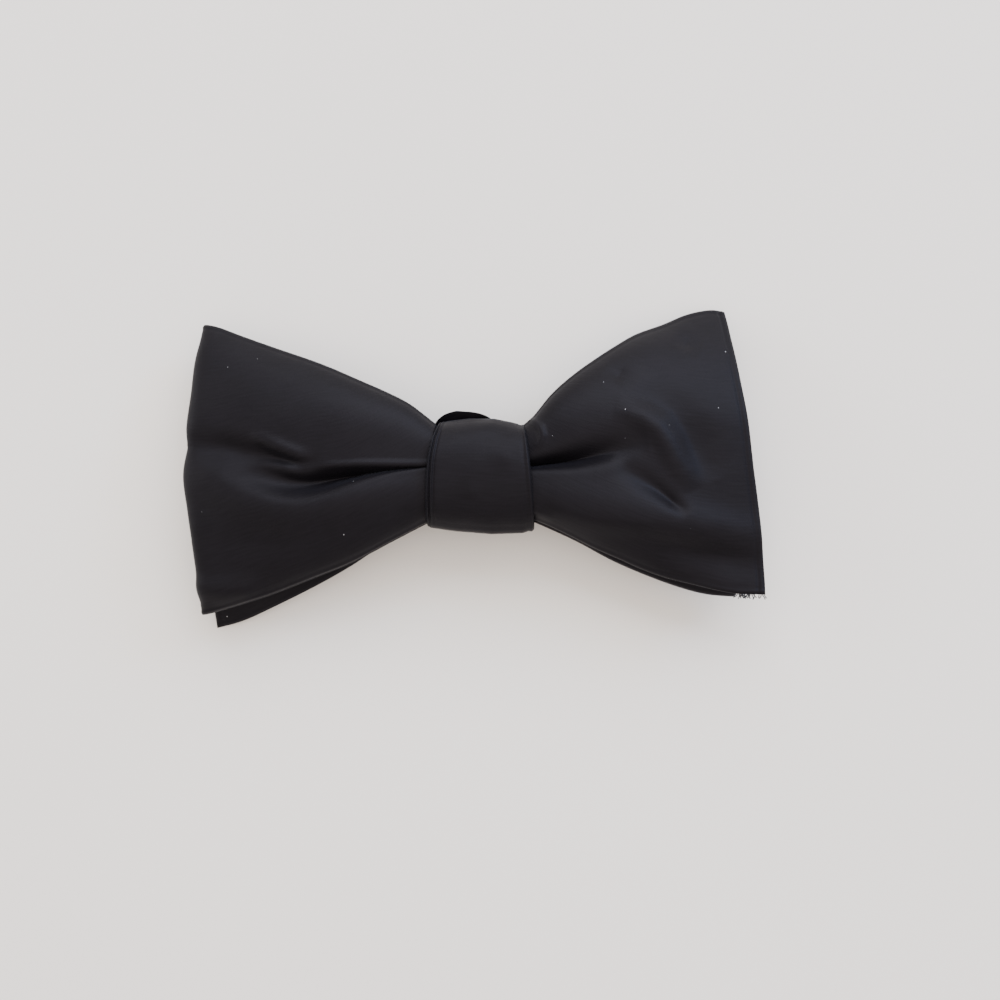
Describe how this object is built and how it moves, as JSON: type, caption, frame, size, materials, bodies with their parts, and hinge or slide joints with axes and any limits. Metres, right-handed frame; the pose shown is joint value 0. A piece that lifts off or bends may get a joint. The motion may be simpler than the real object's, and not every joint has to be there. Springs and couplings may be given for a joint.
{
  "type": "pre-tied bow tie",
  "caption": "Black satin pre-tied bow tie with two pleated wings, a wrapped knot, and a folding adjustable neckband that closes with a hook and an eye.",
  "frame": {"origin": "on the surface that the bow tie lies on, behind the middle of the knot", "axes": "+X to the right wing seen from the face, +Y to the top of the bow, +Z out of the face of the bow"},
  "size_m": [0.1213, 0.0664, 0.0187],
  "materials": {
    "satin": "black satin with a soft sheen",
    "neckband_satin": "black satin, pressed flat",
    "interlining": "matt canvas interlining",
    "thread": "black sewing thread",
    "nickel": "nickel plate"
  },
  "bodies": {
    "bow_centre": {"knot_wrap": "satin", "knot_lining": "interlining", "knot_seam_stitches": "thread", "binding_thread": "thread", "front_centre_pleats": "satin", "rear_centre_pleats": "satin", "neckband_centre_run": "neckband_satin", "neckband_fold_1": "neckband_satin", "eye_end_loop": "neckband_satin", "eye_bar_tack": "thread"},
    "left_wings": {"front_left_loop": "satin", "front_left_interlining": "interlining", "rear_left_end": "satin", "rear_left_interlining": "interlining"},
    "right_wings": {"front_right_end": "satin", "front_right_interlining": "interlining", "rear_right_loop": "satin", "rear_right_interlining": "interlining"},
    "eye": {"eye_ring": "nickel"},
    "band_second_run": {"neckband_run_2": "neckband_satin", "neckband_fold_2": "neckband_satin"},
    "band_third_run": {"neckband_run_3": "neckband_satin", "neckband_fold_3": "neckband_satin"},
    "band_fourth_run": {"neckband_run_4": "neckband_satin"},
    "hook_end": {"hook_end_loop": "neckband_satin", "hook_end_feed": "neckband_satin"},
    "hook": {"hook": "nickel"},
    "slider": {"adjuster_return_ply": "neckband_satin", "slider_frame": "nickel", "slider_end_tab": "neckband_satin", "slider_bar_tack": "thread"}
  },
  "joints": [
    {"name": "left_wings_flex", "type": "hinge", "parent": "bow_centre", "child": "left_wings", "pos_m": [-0.0108, 0, 0.0168], "axis": [0, 1, 0], "range_deg": [0, 18], "stiffness_Nm_per_rad": 0.01},
    {"name": "right_wings_flex", "type": "hinge", "parent": "bow_centre", "child": "right_wings", "pos_m": [0.0108, 0, 0.0168], "axis": [0, -1, 0], "range_deg": [0, 18], "stiffness_Nm_per_rad": 0.01},
    {"name": "eye_tilt", "type": "hinge", "parent": "bow_centre", "child": "eye", "pos_m": [-0.046, 0, 0.00655], "axis": [0, 1, 0], "range_deg": [-6, 5]},
    {"name": "band_fold_1", "type": "hinge", "parent": "bow_centre", "child": "band_second_run", "pos_m": [0.048, 0, 0.00668], "axis": [0, -1, 0], "range_deg": [0, 180], "deforming": ["neckband_fold_1"]},
    {"name": "band_fold_2", "type": "hinge", "parent": "band_second_run", "child": "band_third_run", "pos_m": [-0.031, 0, 0.0051], "axis": [0, 1, 0], "range_deg": [0, 180], "deforming": ["neckband_fold_2"]},
    {"name": "band_fold_3", "type": "hinge", "parent": "band_third_run", "child": "band_fourth_run", "pos_m": [0.048, 0, 0.00367], "axis": [0, -1, 0], "range_deg": [0, 180], "deforming": ["neckband_fold_3"]},
    {"name": "slider_slide", "type": "slide", "parent": "band_fourth_run", "child": "slider", "axis": [-1, 0, 0], "range_m": [0, 0.08], "deforming": ["adjuster_return_ply"]},
    {"name": "hook_end_feed", "type": "slide", "parent": "band_fourth_run", "child": "hook_end", "axis": [-1, 0, 0], "range_m": [0, 0.04]},
    {"name": "hook_tilt", "type": "hinge", "parent": "hook_end", "child": "hook", "pos_m": [-0.0335, 0, 0.00155], "axis": [0, 1, 0], "range_deg": [0, 6]}
  ],
  "couplings": [
    {"joint": "band_fold_2", "follows": "band_fold_1", "ratio": 1},
    {"joint": "band_fold_3", "follows": "band_fold_1", "ratio": 1},
    {"joint": "hook_end_feed", "follows": "slider_slide", "ratio": 0.5}
  ]
}
